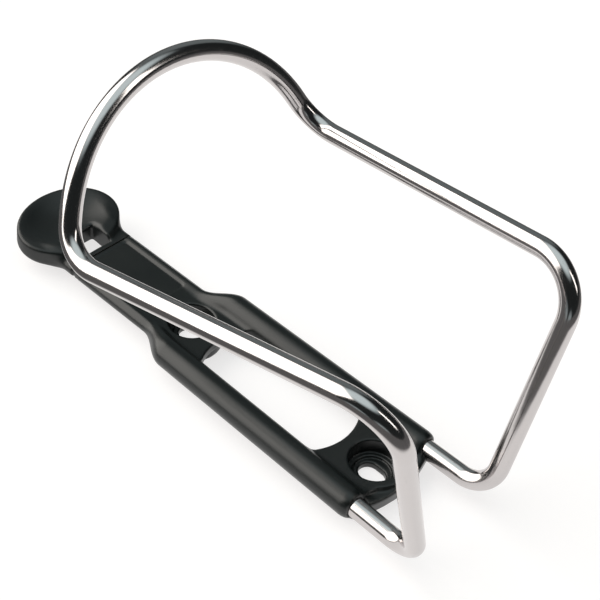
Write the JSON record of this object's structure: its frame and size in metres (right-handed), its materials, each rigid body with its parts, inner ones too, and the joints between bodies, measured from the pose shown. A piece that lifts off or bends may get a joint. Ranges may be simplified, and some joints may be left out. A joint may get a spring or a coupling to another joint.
{
  "type": "bicycle water bottle cage",
  "caption": "Bent round-tube bottle cage with a moulded black base, a leaning hoop round the bottle and an oval catch button on a flexing tongue.",
  "frame": {"origin": "midway between the two screw slots, on the plane of the two boss faces that bear on the bicycle's tube", "axes": "+Z away from the bicycle's tube toward the bottle, +X along the line of the screws toward the bottle's bottom, +Y across, the cage's mirror direction"},
  "size_m": [0.1534, 0.0832, 0.0838],
  "materials": {
    "polished_tube": "polished",
    "black_nylon": "semi-matte, fine grain",
    "black_button": "semi-matte"
  },
  "bodies": {
    "frame": {"base": "black_nylon", "tube_loop": "polished_tube"},
    "catch": {"button": "black_button"}
  },
  "joints": [
    {"name": "button_flex", "type": "hinge", "parent": "frame", "child": "catch", "pos_m": [-0.0668, 0, 0.0057], "axis": [0, -1, 0], "range_deg": [0, 8], "stiffness_Nm_per_rad": 0.5, "springref_deg": -1.15}
  ]
}
